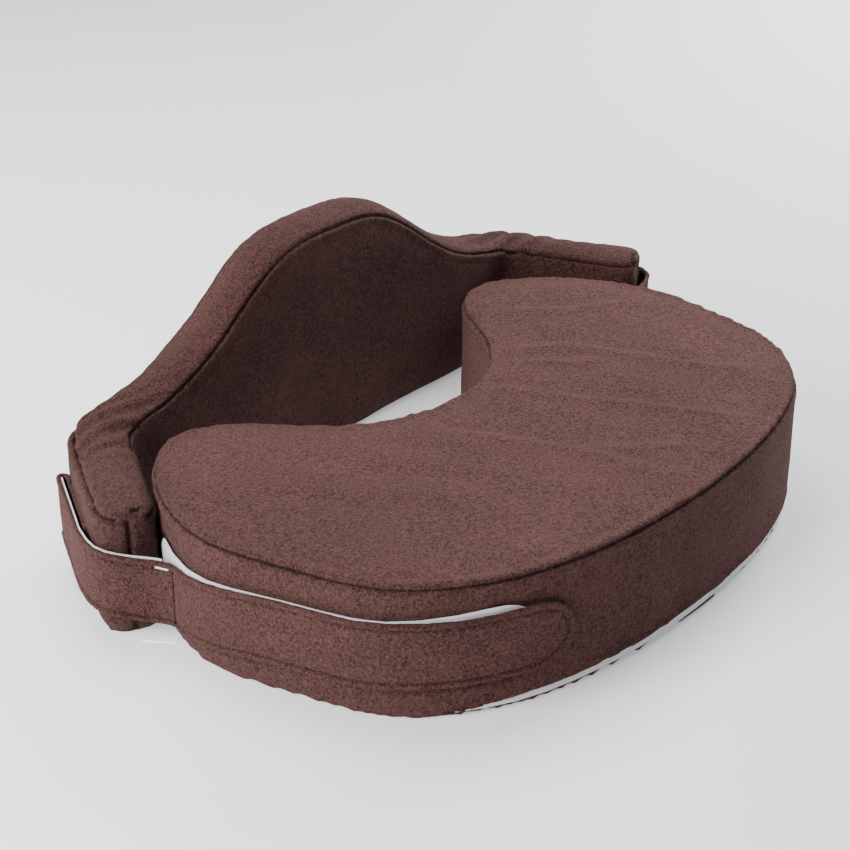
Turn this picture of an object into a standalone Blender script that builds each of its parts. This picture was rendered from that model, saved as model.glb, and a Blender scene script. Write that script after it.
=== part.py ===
"""Nursing pillow: a crescent foam platform and a standing backrest pad, each in a zipped fleece cover.

A belt with a hook-and-loop flap ties the pad's near arm to the platform. A sewn link holds its far arm.
Metres, +Z up, front of the platform towards -Y. The origin is the middle of the platform's waist, on
its flat base.
"""

import math

import bmesh
import bpy
from mathutils import Matrix, Vector

# Platform
OUTLINE_SPACING = 0.024  # between the points of its outline
PLATFORM_WIDTH = 0.580
PLATFORM_DEPTH = 0.368  # front edge to the back of the two tips
WAIST_DEPTH = 0.241  # front edge to the bottom of the recess
PLATFORM_HEIGHT = 0.108

# Backrest pad
PAD_THICKNESS = 0.047
ARM_THICKNESS = 0.049
PAD_SETBACK = 0.036  # back of the tips to the pad's front face
BEND_SPAN = 0.9 * PLATFORM_WIDTH  # between the corners where the two arms start
ARM_LENGTH = 0.140
NEAR_ARM_ANGLE = math.radians(32)  # outwards from straight ahead
FAR_ARM_ANGLE = math.radians(24)
BEND_RADIUS = 0.045
END_ROUND = 0.018
ROW_SPACING = 0.016
ARM_HEIGHT = 0.094
HUMP_HEIGHT = 0.203
HUMP_HALF_WIDTH = 0.135  # where the hump has dropped to half its rise
HUMP_POWER = 3.5
PAD_CROWN = 0.009  # rise of the top strip between its two seams

# Cloth, tape and zip
FLEECE = 0.0025
TAPE = 0.0010
GAP = 0.0003  # between pieces that touch
BELT_WIDTH = 0.060
BELT_BOTTOM = 0.020
TAPE_HEM = 0.004  # the flap overhangs its hook tape by this much
BELT_TAPE_PROUD = 0.0015  # the tape in the folded belt stands above it by this much
TAPE_START = 0.004  # of the same tape, along the outer leg from the fold
LOOP_TAPE_OVERLAP = 0.004  # the loop tape stands above the flap by this much
BELT_FOLD = 0.0036  # radius of the belt's folded end
END_CLEARANCE = 0.0062  # from the near arm's end to the middle of the belt
NEAR_STRAIGHT = 0.46  # share of the stretch round an arm's end that keeps straight on
FAR_STRAIGHT = 0.58
WALL_STRAIGHT = 0.36
LANDING = 0.038  # start of the loop tape to where the flap meets it
FLAP_ON_WALL = 0.306
FLAP_LENGTH = 0.318
LOOP_TAPE_LENGTH = 0.322
PATCH_LENGTH = 0.045
PATCH_LEAD = 0.004  # of the patch, before the link leaves the wall
LINK_CLEARANCE = 0.0015  # from the far arm's face to the link
BAR_TACK_LENGTH = 0.012
THREAD = 0.0012
ROUND_SPACING = 0.008  # between points on a strip with a rounded end
ZIP_TAPE = 0.0034  # visible height of each tape
ZIP_COIL = 0.0024
ZIP_LENGTH = 0.665
PAD_ZIP_LENGTH = 0.340
ZIP_REST = 0.020  # from the closed slider to the end of its zip
ZIP_ARC = 0.060  # stretch of the platform's zip that one arc follows
SLIDER_LENGTH = 0.0140
SLIDER_PLATE = 0.0016
SLIDER_GAP = 0.0006
PULL_LENGTH = 0.0240
PULL_THICKNESS = 0.0012
LABEL_SIZE = (0.026, 0.006, 0.0008)
LABEL_ANGLE = math.radians(123)

TIP_Y = PLATFORM_DEPTH - WAIST_DEPTH / 2
FRONT_Y = -WAIST_DEPTH / 2
PAD_Y = TIP_Y + PAD_SETBACK + PAD_THICKNESS / 2
BELT_TOP = BELT_BOTTOM + BELT_WIDTH
FLAP_STANDOFF = 3 * GAP + 2 * TAPE  # the flap lies over both tapes
NEAR, FAR = -1, 1
NEAR_WALL_START = (-0.95 * PLATFORM_WIDTH / 2, TIP_Y - 0.070)
FAR_WALL_START = (PLATFORM_WIDTH / 2, TIP_Y - 0.120)
END_ROW, SEWN_ROW, FOLD_ROW, LINK_ROW = 3, 4, 9, 8  # rows of the pad, counted from an arm's end
ZIP_BOTTOM = FLEECE + GAP
ZIP_TOP = ZIP_BOTTOM + 2 * ZIP_TAPE + ZIP_COIL + 2 * GAP

COLOURS = {
    "fleece": ((0.145, 0.062, 0.055), 0.95, 0.0),
    "foam": ((0.78, 0.74, 0.62), 0.95, 0.0),
    "tape": ((0.82, 0.82, 0.82), 0.85, 0.0),
    "zip": ((0.80, 0.80, 0.80), 0.55, 0.0),
    "metal": ((0.70, 0.70, 0.72), 0.30, 1.0),
    "thread": ((0.88, 0.88, 0.86), 0.80, 0.0),
}


def clear_scene():
    for obj in list(bpy.data.objects):
        bpy.data.objects.remove(obj)


def make_material(name):
    colour, roughness, metallic = COLOURS[name]
    material = bpy.data.materials.new(name)
    material.use_nodes = True
    shader = material.node_tree.nodes["Principled BSDF"]
    shader.inputs["Base Color"].default_value = (*colour, 1)
    shader.inputs["Roughness"].default_value = roughness
    shader.inputs["Metallic"].default_value = metallic
    return material


def make_object(name, mesh_builder, material, location=(0, 0, 0), turn=0.0):
    """One closed solid, with its faces pointing out."""
    bmesh.ops.recalc_face_normals(mesh_builder, faces=mesh_builder.faces)
    mesh = bpy.data.meshes.new(name)
    mesh_builder.to_mesh(mesh)
    mesh_builder.free()
    mesh.materials.append(materials[material])
    mesh.shade_smooth()
    mesh.set_sharp_from_angle(angle=math.radians(35))
    obj = bpy.data.objects.new(name, mesh)
    obj.location = location
    obj.rotation_euler.z = turn
    bpy.context.collection.objects.link(obj)
    return obj


def ease(share):
    """A smooth step from 0 to 1."""
    share = min(1.0, max(0.0, share))
    return share * share * (3 - 2 * share)


# Curves in plan


def smooth_curve(points, closed, steps=10):
    """A centripetal Catmull-Rom curve through the points."""
    points = [Vector(p) for p in points]
    count = len(points)
    if not closed:
        points = [2 * points[0] - points[1], *points, 2 * points[-1] - points[-2]]
    curve = []
    for i in range(count if closed else count - 1):
        first = i - 1 if closed else i
        p = [points[(first + k) % len(points)] for k in range(4)]
        t = [0.0]
        for k in range(3):
            t.append(t[-1] + math.sqrt((p[k + 1] - p[k]).length))
        for step in range(steps):
            u = t[1] + (t[2] - t[1]) * step / steps
            level = p
            for order in (1, 2):
                level = [
                    level[k].lerp(level[k + 1], (u - t[k]) / (t[k + order] - t[k]))
                    for k in range(len(level) - 1)
                ]
            curve.append(level[0].lerp(level[1], (u - t[1]) / (t[2] - t[1])))
    if not closed:
        curve.append(points[-2])
    return curve


def evenly(curve, spacing, closed=False):
    """The curve with its points moved to an even spacing, close to the one given."""
    loop = [*curve, curve[0]] if closed else curve
    travelled = [0.0]
    for a, b in zip(loop, loop[1:]):
        travelled.append(travelled[-1] + (b - a).length)
    count = max(2, round(travelled[-1] / spacing))
    points = [point_at(loop, travelled, travelled[-1] * i / count) for i in range(count + 1)]
    return points[:-1] if closed else points


def point_at(curve, travelled, distance):
    for i in range(len(curve) - 1):
        if distance <= travelled[i + 1] or i == len(curve) - 2:
            share = (distance - travelled[i]) / (travelled[i + 1] - travelled[i])
            return curve[i].lerp(curve[i + 1], share)


def tangents(points, closed=False):
    result = []
    for i in range(len(points)):
        before = points[i - 1] if closed or i > 0 else points[i]
        after = points[(i + 1) % len(points)] if closed or i < len(points) - 1 else points[i]
        result.append((after - before).normalized())
    return result


def offset(points, distance, closed=False):
    """The curve moved to its right by distance: outwards on an outline that runs anticlockwise."""
    count = len(points)
    steps = [(points[(i + 1) % count] - points[i]).normalized() for i in range(count)]
    if not closed:
        steps[-1] = steps[-2]
    moved = []
    for i, p in enumerate(points):
        after = steps[i]
        before = steps[i - 1] if closed or i > 0 else after
        corner = (before + after) / (1 + before.dot(after))
        moved.append(p + distance * Vector((corner.y, -corner.x)))
    return moved


def stretch(curve, start, length, longest=0.030):
    """The piece of a curve that starts at a distance along it, with no segment over the longest."""
    travelled = [0.0]
    for a, b in zip(curve, curve[1:]):
        travelled.append(travelled[-1] + (b - a).length)
    end = start + length
    inside = [d for d in travelled if start + GAP < d < end - GAP]
    marks = [start, *inside, end]
    distances = []
    for a, b in zip(marks, marks[1:]):
        pieces = math.ceil((b - a) / longest)
        distances += [a + (b - a) * k / pieces for k in range(pieces)]
    return [point_at(curve, travelled, d) for d in [*distances, end]]


def path_length(path):
    return sum((b - a).length for a, b in zip(path, path[1:]))


def arc_centre(a, b, c):
    """The centre of the circle through three points."""
    first, second = b - a, c - b
    across = Vector((-first.y, first.x))
    share = ((c - a) / 2).dot(second) / across.dot(second)
    return (a + b) / 2 + across * share


# Solids


def slab(outline, low, high):
    """A flat plate of the outline's shape."""
    b = bmesh.new()
    face = b.faces.new([b.verts.new((p.x, p.y, low)) for p in outline])
    raised = bmesh.ops.extrude_face_region(b, geom=[face])
    moved = [v for v in raised["geom"] if isinstance(v, bmesh.types.BMVert)]
    bmesh.ops.translate(b, verts=moved, vec=(0, 0, high - low))
    return b


def wall(outer, inner, lows, highs, closed=False):
    """A standing strip between two curves, with its own lower and upper edge at each point."""
    b = bmesh.new()
    rows = []
    for o, i, low, high in zip(outer, inner, lows, highs):
        corners = ((o, low), (o, high), (i, high), (i, low))
        rows.append([b.verts.new((p.x, p.y, z)) for p, z in corners])
    pairs = list(zip(rows, rows[1:]))
    if closed:
        pairs.append((rows[-1], rows[0]))
    else:
        b.faces.new(rows[0])
        b.faces.new(reversed(rows[-1]))
    for a, c in pairs:
        for k in range(4):
            b.faces.new((a[k], a[(k + 1) % 4], c[(k + 1) % 4], c[k]))
    return b


def strip(path, inset, thickness, low, high):
    """A strip of even height that stands beside a path, on its right."""
    outer = offset(path, inset + thickness)
    inner = offset(path, inset)
    return wall(outer, inner, [low] * len(path), [high] * len(path))


def block(low, high):
    b = bmesh.new()
    bmesh.ops.create_cube(b, size=1)
    for v in b.verts:
        for axis in range(3):
            v.co[axis] = low[axis] if v.co[axis] < 0 else high[axis]
    return b


def add_boolean(obj, mesh_builder, operation):
    """Joins a helper to an object, or cuts it out, with a Boolean that stays on the object."""
    helper = make_object(f"{obj.name}.{operation.lower()}", mesh_builder, "metal")
    helper.parent = obj
    helper.hide_render = True
    helper.display_type = "WIRE"
    modifier = obj.modifiers.new(operation, "BOOLEAN")
    modifier.operation = operation
    modifier.object = helper


def add_joint(name, place, names):
    """An empty on a joint's axis, which carries the objects that move there."""
    joint = bpy.data.objects.new(name, None)
    joint.location = (*place, (BELT_BOTTOM + BELT_TOP) / 2)
    joint.empty_display_size = 0.020
    bpy.context.collection.objects.link(joint)
    for child in names:
        obj = bpy.data.objects[child]
        obj.parent = joint
        obj.matrix_parent_inverse = Matrix.Translation(-joint.location)


# Platform: a foam crescent with vertical sides


def platform_outline():
    """The crescent, anticlockwise from the middle of its front edge."""
    half_width = PLATFORM_WIDTH / 2
    recess = PLATFORM_DEPTH - WAIST_DEPTH
    right = [
        (0.00, 0.0),
        (0.38, 0.025 * PLATFORM_DEPTH),
        (0.68, 0.103 * PLATFORM_DEPTH),
        (0.883, 0.245 * PLATFORM_DEPTH),
        (0.969, 0.451 * PLATFORM_DEPTH),
        (1.00, 0.655 * PLATFORM_DEPTH),
        (0.914, 0.837 * PLATFORM_DEPTH),
        (0.776, 0.962 * PLATFORM_DEPTH),
        (0.645, PLATFORM_DEPTH),
        (0.517, WAIST_DEPTH + 0.86 * recess),
        (0.355, WAIST_DEPTH + 0.36 * recess),
        (0.190, WAIST_DEPTH + 0.08 * recess),
        (0.00, WAIST_DEPTH),
    ]
    left = [(-x, y) for x, y in reversed(right[1:-1])]
    return smooth_curve([(x * half_width, FRONT_Y + y) for x, y in right + left], closed=True)


def edge_above_zip(points, first, last):
    """Lower edge of a panel at each point: on the seam, or above the zip from first to last."""
    return [ZIP_TOP + GAP if first <= i <= last else ZIP_BOTTOM for i in range(len(points))]


def nearest_index(points, x, y):
    return min(range(len(points)), key=lambda i: (points[i] - Vector((x, y))).length)


def build_platform(outline):
    inner = offset(outline, -FLEECE, closed=True)
    core = offset(outline, -FLEECE - GAP, closed=True)
    top = PLATFORM_HEIGHT - FLEECE
    make_object("platform_foam_core", slab(core, FLEECE + GAP, top - GAP), "foam")
    make_object("platform_top_panel", slab(outline, top, PLATFORM_HEIGHT), "fleece")
    make_object("platform_bottom_panel", slab(outline, 0, FLEECE), "fleece")

    # The outline is turned to start at the back, so that the zip lies in one run of points.
    back = len(outline) // 2
    ring, ring_inner = [p[back:] + p[:back] for p in (outline, inner)]
    first = nearest_index(ring, -0.81 * PLATFORM_WIDTH / 2, FRONT_Y + 0.18 * PLATFORM_DEPTH)
    lengths = [(b - a).length for a, b in zip(ring, ring[1:])]
    last = first
    while sum(lengths[first:last]) < ZIP_LENGTH:
        last += 1
    lows = edge_above_zip(ring, first, last)
    highs = [top - GAP] * len(ring)
    make_object("platform_side_band", wall(ring, ring_inner, lows, highs, closed=True), "fleece")
    return ring[first : last + 1]


def build_label(outline):
    """The care label: a ribbon caught in the bottom seam by the near tip, lying on the floor."""
    length, width, thickness = LABEL_SIZE
    index = nearest_index(outline, -0.965 * PLATFORM_WIDTH / 2, TIP_Y - 0.087)
    edge = offset(outline, 2 * GAP, closed=True)[index]
    corner = Vector((math.sin(LABEL_ANGLE), -math.cos(LABEL_ANGLE))) * width / 2
    ribbon = block((0, -width / 2, 0), (length, width / 2, thickness))
    make_object("care_label", ribbon, "tape", (*(edge - corner), 0), LABEL_ANGLE)


# Zips


def build_zip(prefix, path, rest):
    """Tapes, coil and stops along a path on the cover's surface, with the slider at distance rest."""
    coil_low = ZIP_BOTTOM + ZIP_TAPE + GAP
    coil_high = coil_low + ZIP_COIL
    sewn = stretch(path, TAPE, path_length(path) - 2 * TAPE)
    lower = strip(sewn, -2 * TAPE, TAPE, ZIP_BOTTOM + GAP, coil_low - GAP)
    upper = strip(sewn, -2 * TAPE, TAPE, coil_high + GAP, ZIP_TOP)
    make_object(f"{prefix}_zip_tape_lower", lower, "tape")
    make_object(f"{prefix}_zip_tape_upper", upper, "tape")
    coil = stretch(path, 0.006, path_length(path) - 0.012)
    make_object(f"{prefix}_zip_coil", strip(coil, -2 * TAPE, TAPE, coil_low, coil_high), "zip")
    for name, start in (("start", 0.001), ("end", path_length(path) - 0.0045)):
        stop = stretch(path, start, 0.0035)
        solid = strip(stop, -2 * TAPE, 1.5 * TAPE, coil_low, coil_high)
        make_object(f"{prefix}_zip_{name}_stop", solid, "metal")
    build_slider(prefix, path, rest, (coil_low + coil_high) / 2)


def build_slider(prefix, path, rest, height):
    """The slider's plate with its bridge, and the pull whose bar passes under the bridge."""
    span = SLIDER_LENGTH / 4
    behind = stretch(path, rest - span, span)
    along = (stretch(path, rest, span)[-1] - behind[0]).normalized()
    here = behind[-1]
    outward = Vector((along.y, -along.x))
    turn = math.atan2(along.y, along.x)
    place = here + outward * (SLIDER_GAP - TAPE)
    half = SLIDER_LENGTH / 2
    plate_half = ZIP_COIL / 2 + 0.0030
    plate = block((-half, -SLIDER_PLATE, -plate_half), (half, 0, plate_half))
    slider = make_object(f"{prefix}_zip_slider", plate, "metal", (*place, height), turn)
    bridge_half = 0.0045
    post = 0.0010
    hole = 0.0020
    rise = -SLIDER_PLATE - hole
    profile = [
        (-bridge_half, 0.0004 - SLIDER_PLATE),
        (-bridge_half, rise - post),
        (bridge_half, rise - post),
        (bridge_half, -SLIDER_PLATE - GAP),
        (bridge_half - post, -SLIDER_PLATE - GAP),
        (bridge_half - post, rise),
        (-bridge_half + post, rise),
        (-bridge_half + post, 0.0004 - SLIDER_PLATE),
    ]
    arch = slab([Vector(p) for p in profile], -0.0012, 0.0012)
    add_boolean(slider, arch, "UNION")

    bar_out = (SLIDER_PLATE + hole / 2) + PULL_THICKNESS / 2
    half_pull = 0.0030
    pull_place = place + outward * (bar_out - PULL_THICKNESS / 2)
    plate = block(
        (-PULL_THICKNESS / 2, -PULL_THICKNESS / 2, -half_pull),
        (PULL_LENGTH, PULL_THICKNESS / 2, half_pull),
    )
    pull = make_object(f"{prefix}_zip_pull", plate, "metal", (*pull_place, height), turn)
    window = block((PULL_THICKNESS / 2, -0.01, -0.0018), (0.0078, 0.01, 0.0018))
    add_boolean(pull, window, "DIFFERENCE")


# Backrest pad


def tip_support(outline, normal):
    """How far the near tip reaches in a direction."""
    return max(p.dot(normal) for p in outline if p.x < 0)


def pad_corners(outline):
    """The pad's centre line before its bends are rounded: near end, near corner, far corner, far end."""
    clearance = 0.0015
    outward = Vector((-math.cos(NEAR_ARM_ANGLE), math.sin(NEAR_ARM_ANGLE)))
    reach = tip_support(outline, outward) + clearance + ARM_THICKNESS / 2
    near_corner = Vector(((reach - outward.y * PAD_Y) / outward.x, PAD_Y))
    far_corner = near_corner + Vector((BEND_SPAN, 0))
    near_way = Vector((-math.sin(NEAR_ARM_ANGLE), -math.cos(NEAR_ARM_ANGLE)))
    far_way = Vector((math.sin(FAR_ARM_ANGLE), -math.cos(FAR_ARM_ANGLE)))
    near_end = near_corner + ARM_LENGTH * near_way
    far_end = far_corner + ARM_LENGTH * far_way
    return near_end, near_corner, far_corner, far_end


def rounded_corner(before, corner, after, radius, steps=6):
    """The arc that rounds a corner."""
    back = (before - corner).normalized()
    ahead = (after - corner).normalized()
    half = back.angle(ahead) / 2
    centre = corner + (back + ahead).normalized() * radius / math.sin(half)
    start = corner + back * radius / math.tan(half) - centre
    sweep = math.pi - 2 * half
    side = -math.copysign(1, back.cross(ahead))
    arc = []
    for i in range(steps + 1):
        angle = side * sweep * i / steps
        cos, sin = math.cos(angle), math.sin(angle)
        arc.append(centre + Vector((start.x * cos - start.y * sin, start.x * sin + start.y * cos)))
    return arc


def hump(x, centre):
    """Height of the pad's top seams."""
    share = abs((x - centre) / HUMP_HALF_WIDTH) ** HUMP_POWER
    return ARM_HEIGHT + (HUMP_HEIGHT - ARM_HEIGHT) / (1 + share)


class PadRow:
    """One cut across the pad: its centre, the direction to its front face, and its half thickness."""

    def __init__(self, centre, front, half):
        self.centre = centre
        self.front = front
        self.half = half

    def at(self, share):
        return self.centre + self.front * (self.half * share)


def pad_rows(corners, inset):
    near_end, near_corner, far_corner, far_end = corners
    near_way = (near_end - near_corner).normalized()
    far_way = (far_end - far_corner).normalized()
    line = [near_end - near_way * inset]
    line += rounded_corner(near_end, near_corner, far_corner, BEND_RADIUS)
    line += rounded_corner(near_corner, far_corner, far_end, BEND_RADIUS)
    line += [far_end - far_way * inset]
    total = path_length(line)
    near_arm = (near_corner - near_end).length
    # The count is the same at every inset, so that a cover and its lining match row by row.
    count = round((total + 2 * inset - 2 * END_ROUND) / ROW_SPACING)
    spacing = (total - 2 * END_ROUND) / count
    middle = evenly(stretch(line, END_ROUND, total - 2 * END_ROUND), spacing)
    rounds = [END_ROUND * share for share in (0.0, 0.12, 0.45)]
    centres = [stretch(line, 0, r or GAP)[-1] for r in rounds] + middle
    centres += [stretch(line[::-1], 0, r or GAP)[-1] for r in reversed(rounds)]
    ways = tangents(centres)
    distance = 0.0
    rows = []
    for i, (centre, way) in enumerate(zip(centres, ways)):
        if i:
            distance += (centre - centres[i - 1]).length
        from_end = min(distance, total - distance)
        into_hump = (from_end - near_arm * 0.6) / (near_arm * 0.8)
        thickness = ARM_THICKNESS + (PAD_THICKNESS - ARM_THICKNESS) * ease(into_hump)
        half = thickness / 2 - inset
        if from_end < END_ROUND:
            missing = (END_ROUND - from_end) / END_ROUND
            half *= 0.35 + 0.65 * math.sqrt(max(0.0, 1 - missing * missing))
        rows.append(PadRow(centre, Vector((way.y, -way.x)), half))
    return rows


def ladder(rows, low, high, shares):
    """A solid across the pad's rows; low and high give its lower and upper face."""
    b = bmesh.new()
    grid = []
    for row in rows:
        grid.append([])
        for share in shares:
            p = row.at(share)
            bottom = b.verts.new((p.x, p.y, low(p.x, share)))
            top = b.verts.new((p.x, p.y, high(p.x, share)))
            grid[-1].append((bottom, top))
    last = len(shares) - 1
    for a, c in zip(grid, grid[1:]):
        for k in range(last):
            for level in (0, 1):
                b.faces.new((a[k][level], a[k + 1][level], c[k + 1][level], c[k][level]))
        for k in (0, last):
            b.faces.new((a[k][0], a[k][1], c[k][1], c[k][0]))
    for end in (grid[0], grid[-1]):
        for k in range(last):
            b.faces.new((end[k][0], end[k][1], end[k + 1][1], end[k + 1][0]))
    return b


def pad_side(rows, side):
    """One face of the pad in plan, from the middle of one end to the middle of the other."""
    sliver = GAP / 2
    points = [row.at(side) for row in rows]
    first = rows[0].centre + rows[0].front * (side * sliver)
    last = rows[-1].centre + rows[-1].front * (side * sliver)
    return [first, *points, last]


def build_pad(corners):
    centre = (corners[1].x + corners[2].x) / 2
    covers = pad_rows(corners, 0)
    linings = pad_rows(corners, FLEECE)
    cores = pad_rows(corners, FLEECE + GAP)
    across = (-1, -0.5, 0, 0.5, 1)

    def seam(x):
        return hump(x, centre)

    def crown(x, share):
        return seam(x) + PAD_CROWN * (1 - share * share)

    foam = ladder(cores, lambda x, s: FLEECE + GAP, lambda x, s: crown(x, s) - FLEECE - GAP, across)
    make_object("backrest_foam_core", foam, "foam")
    gusset = ladder(covers, lambda x, s: crown(x, s) - FLEECE, crown, across)
    make_object("backrest_gusset", gusset, "fleece")
    base = ladder(covers, lambda x, s: 0, lambda x, s: FLEECE, (-1, 1))
    make_object("backrest_base_strip", base, "fleece")

    front = pad_side(covers, 1)
    front_inner = pad_side(linings, 1)
    lows = [FLEECE + GAP] * len(front)
    highs = [seam(p.x) - FLEECE - GAP for p in front]
    make_object("backrest_front_panel", wall(front, front_inner, lows, highs), "fleece")

    back = pad_side(covers, -1)
    back_inner = pad_side(linings, -1)
    zip_start = nearest_index(back, centre - PAD_ZIP_LENGTH / 2, back[len(back) // 2].y)
    zip_end = nearest_index(back, centre + PAD_ZIP_LENGTH / 2, back[len(back) // 2].y)
    lows = edge_above_zip(back, zip_start, zip_end)
    highs = [seam(p.x) - FLEECE - GAP for p in back]
    make_object("backrest_back_panel", wall(back, back_inner, lows, highs), "fleece")
    return covers, list(reversed(back[zip_start : zip_end + 1]))


# Belts: fleece strips that run round the arms' ends onto the platform's wall


def rounded_edges(path, half_height):
    """Lower and upper edges of a strip at belt height whose last end is rounded."""
    middle = (BELT_BOTTOM + BELT_TOP) / 2
    length = path_length(path)
    lows, highs = [], []
    for i in range(len(path)):
        to_end = length - path_length(path[: i + 1])
        missing = max(0.0, half_height - to_end) / half_height
        reach = half_height * math.sqrt(max(0.03, 1 - missing * missing))
        lows.append(middle - reach)
        highs.append(middle + reach)
    return lows, highs


def curved_strip(path, inset, thickness, edges):
    """A strip beside a path, on its right, with its own lower and upper edges."""
    return wall(offset(path, inset + thickness), offset(path, inset), *edges)


def bezier(a, b, c, d, steps):
    """The cubic from a to d with the handles b and c."""
    points = []
    for i in range(steps + 1):
        t = i / steps
        s = 1 - t
        points.append(s**3 * a + 3 * s * s * t * b + 3 * s * t * t * c + t**3 * d)
    return points


def wall_run(outline, side, start):
    """The platform's wall from a point forwards."""
    index = nearest_index(outline, *start)
    turned = outline[index:] + outline[:index]
    return turned if side == NEAR else [turned[0], *reversed(turned[1:])]


def arm_leg(arm, first, last, clearance):
    """Points beside an arm's outer face; clearance gives their distance from it at each row."""
    return [arm[i].at(-1) - arm[i].front * clearance(i) for i in range(first, last + 1)]


def round_the_end(leg, on_wall, straight):
    """The free stretch of belt from the last point of a leg to its landing on the wall."""
    leg_way = (leg[-1] - leg[-2]).normalized()
    wall_way = (on_wall[1] - on_wall[0]).normalized()
    reach = (on_wall[0] - leg[-1]).length
    first_handle = leg[-1] + leg_way * straight * reach
    second_handle = on_wall[0] - wall_way * WALL_STRAIGHT * reach
    return bezier(leg[-1], first_handle, second_handle, on_wall[0], 8)


def cut(path, distance):
    """The two pieces of a path either side of a distance along it."""
    before, after = [], []
    for i, p in enumerate(path):
        travelled = path_length(path[: i + 1])
        if travelled < distance - 2 * GAP:
            before.append(p)
        elif travelled > distance + 2 * GAP:
            after.append(p)
    way = (after[0] - before[-1]).normalized()
    middle = stretch(path, 0, distance)[-1]
    return before + [middle - way * GAP / 2], [middle + way * GAP / 2] + after


def centred_wall(path, thickness, edges):
    return wall(offset(path, thickness / 2), offset(path, -thickness / 2), *edges)


def build_near_belt(rows, outline):
    """A belt folded back on itself beside the arm, with a flap from its end. Returns the flap's axis."""
    run = wall_run(outline, NEAR, NEAR_WALL_START)
    loop = stretch(run, 0, LOOP_TAPE_LENGTH, ROUND_SPACING)
    edges = rounded_edges(loop, BELT_WIDTH / 2 + LOOP_TAPE_OVERLAP)
    make_object("near_loop_tape", curved_strip(loop, GAP, TAPE, edges), "tape")
    hook = stretch(run, LANDING + TAPE_HEM, FLAP_ON_WALL - 2 * TAPE_HEM, ROUND_SPACING)
    edges = rounded_edges(hook, BELT_WIDTH / 2 - TAPE_HEM)
    make_object("near_flap_hook_tape", curved_strip(hook, 2 * GAP + TAPE, TAPE, edges), "tape")

    arm = rows[: FOLD_ROW + 1]
    close = GAP + FLEECE / 2
    inner_leg = arm_leg(arm, SEWN_ROW, FOLD_ROW, lambda i: close)
    opening = close + 2 * BELT_FOLD

    def slack(i):
        return END_CLEARANCE + (opening - END_CLEARANCE) * ease((i - END_ROW) / (SEWN_ROW - END_ROW))

    outer_leg = arm_leg(arm, END_ROW, FOLD_ROW, slack)[::-1]
    fold_centre = (inner_leg[-1] + outer_leg[0]) / 2
    radius = (outer_leg[0] - inner_leg[-1]) / 2
    ahead = (inner_leg[-1] - inner_leg[-2]).normalized() * radius.length
    turns = [math.pi * k / 6 for k in range(1, 6)]
    fold = [fold_centre - radius * math.cos(a) + ahead * math.sin(a) for a in turns]
    wall_part = stretch(run, LANDING, FLAP_ON_WALL, ROUND_SPACING)
    on_wall = offset(wall_part, FLAP_STANDOFF + FLEECE / 2)
    free = round_the_end(outer_leg, on_wall, NEAR_STRAIGHT)
    route = inner_leg + fold + outer_leg + free[1:] + on_wall[1:]
    belt, flap = cut(route, path_length(route) - FLAP_LENGTH)
    edges = [BELT_BOTTOM] * len(belt), [BELT_TOP] * len(belt)
    make_object("near_belt", centred_wall(belt, FLEECE, edges), "fleece")
    edges = rounded_edges(flap, BELT_WIDTH / 2)
    make_object("near_flap_cover", centred_wall(flap, FLEECE, edges), "fleece")

    # The tape lines the outer leg, from just inside the fold to just before the join.
    before_join = path_length(outer_leg) + path_length(free) - 4 * TAPE_START
    lining = stretch(outer_leg + free[1:], TAPE_START, before_join - TAPE_START, ROUND_SPACING)
    edges = [BELT_BOTTOM + TAPE_HEM] * len(lining), [BELT_TOP + BELT_TAPE_PROUD] * len(lining)
    inset = -(FLEECE / 2 + GAP)
    solid = wall(offset(lining, inset), offset(lining, inset - TAPE), *edges)
    make_object("near_belt_tape", solid, "tape")

    # The path is read backwards from the join, so the belt's outer face is on its left.
    tail = stretch(belt[::-1], 2 * THREAD, BAR_TACK_LENGTH)
    top = BELT_TOP - TAPE_HEM
    edges = [top - THREAD] * len(tail), [top] * len(tail)
    inset = -(FLEECE / 2 + GAP)
    solid = wall(offset(tail, inset - THREAD), offset(tail, inset), *edges)
    make_object("near_bar_tack", solid, "thread")
    return offset(belt, FLEECE / 2)[-1]


def build_far_link(rows, outline):
    """The sewn side: a strip from the arm to a patch on the far wall. Returns the axis it bends about."""
    run = wall_run(outline, FAR, FAR_WALL_START)
    # The wall is on the left of the near run and on the right of the far one, so offsets are negative.
    on_wall = offset(stretch(run, 0, PATCH_LENGTH - PATCH_LEAD), -(GAP + FLEECE / 2))
    arm = rows[::-1]
    leg = arm_leg(arm, END_ROW, LINK_ROW, lambda i: LINK_CLEARANCE + FLEECE / 2)[::-1]
    route = leg + round_the_end(leg, on_wall, FAR_STRAIGHT)[1:] + on_wall[1:]
    link, patch = cut(route, path_length(route) - PATCH_LENGTH)
    for name, path in (("far_link", link), ("far_link_patch", patch)):
        edges = [BELT_BOTTOM] * len(path), [BELT_TOP] * len(path)
        make_object(name, centred_wall(path, FLEECE, edges), "fleece")
    for name, start in (("back", TAPE_HEM), ("front", PATCH_LENGTH - TAPE_HEM)):
        seam = stretch(patch, start, THREAD)
        edges = [BELT_BOTTOM + TAPE_HEM] * len(seam), [BELT_TOP - TAPE_HEM] * len(seam)
        inset = -(FLEECE / 2 + GAP)
        solid = wall(offset(seam, inset - THREAD), offset(seam, inset), *edges)
        make_object(f"far_patch_stitching_{name}", solid, "thread")
    return offset(link, -FLEECE / 2)[-1]


BACKREST_PARTS = (
    "foam_core",
    "front_panel",
    "back_panel",
    "gusset",
    "base_strip",
    "zip_tape_lower",
    "zip_tape_upper",
    "zip_coil",
    "zip_start_stop",
    "zip_end_stop",
)

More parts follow.
